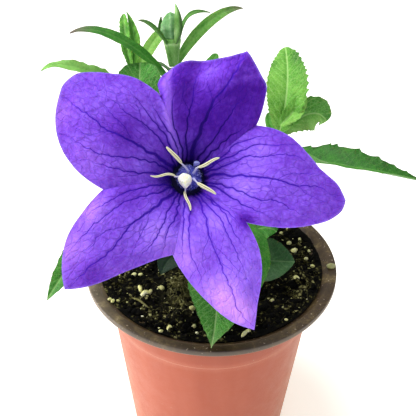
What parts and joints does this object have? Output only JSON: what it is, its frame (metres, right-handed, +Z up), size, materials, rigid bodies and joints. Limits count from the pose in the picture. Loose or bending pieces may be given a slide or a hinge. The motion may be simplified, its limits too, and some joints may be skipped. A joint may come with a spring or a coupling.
{
  "type": "potted flowering plant",
  "caption": "Potted balloon flower: open five-petalled violet bloom, closed bud, leafy side shoots and soil in a small round nursery pot with a flat hanging rim.",
  "frame": {"origin": "middle of the pot's flat base, where it stands", "axes": "+Z up; the open bloom faces -Y, tilted up, and +X is to the right of someone facing the bloom"},
  "size_m": [0.115, 0.1159, 0.1686],
  "materials": {
    "pot_plastic": "satin",
    "potting_soil": "matte",
    "perlite": "matte",
    "stem": "satin",
    "leaf": "satin",
    "young_leaf": "satin",
    "shaded_leaf": "satin",
    "calyx": "satin",
    "bud_skin": "satin",
    "petal": "matte",
    "stamen": "matte",
    "stigma": "matte"
  },
  "bodies": {
    "root": {"bract_back": "shaded_leaf", "bract_left": "shaded_leaf", "bud": "bud_skin", "bud_calyx": "calyx", "bud_stem": "stem", "corolla": "petal", "flower_calyx": "calyx", "leaf_back_far_left": "leaf", "leaf_back_far_right": "leaf", "leaf_back_left": "leaf", "leaf_back_low": "shaded_leaf", "leaf_back_right": "leaf", "leaf_behind_top": "leaf", "leaf_beside_bud": "leaf", "leaf_front_low": "leaf", "leaf_front_right": "leaf", "leaf_left_broad": "leaf", "leaf_left_far": "leaf", "leaf_left_long": "leaf", "leaf_left_low": "leaf", "leaf_low_left": "shaded_leaf", "leaf_low_right": "shaded_leaf", "leaf_mid_right": "leaf", "leaf_right_inner": "leaf", "leaf_right_long": "leaf", "leaf_right_round": "leaf", "leaf_right_tall": "young_leaf", "leaf_side_low": "shaded_leaf", "leaf_strap": "young_leaf", "left_shoot_stem": "stem", "main_stem": "stem", "perlite_1": "perlite", "perlite_2": "perlite", "perlite_3": "perlite", "perlite_4": "perlite", "perlite_5": "perlite", "pistil": "stigma", "pot": "pot_plastic", "right_shoot_stem": "stem", "shoot_leaf_back": "young_leaf", "shoot_leaf_front": "young_leaf", "soil": "potting_soil", "stamen_1": "stamen", "stamen_2": "stamen", "stamen_3": "stamen", "stamen_4": "stamen", "stamen_5": "stamen"}
  },
  "joints": []
}
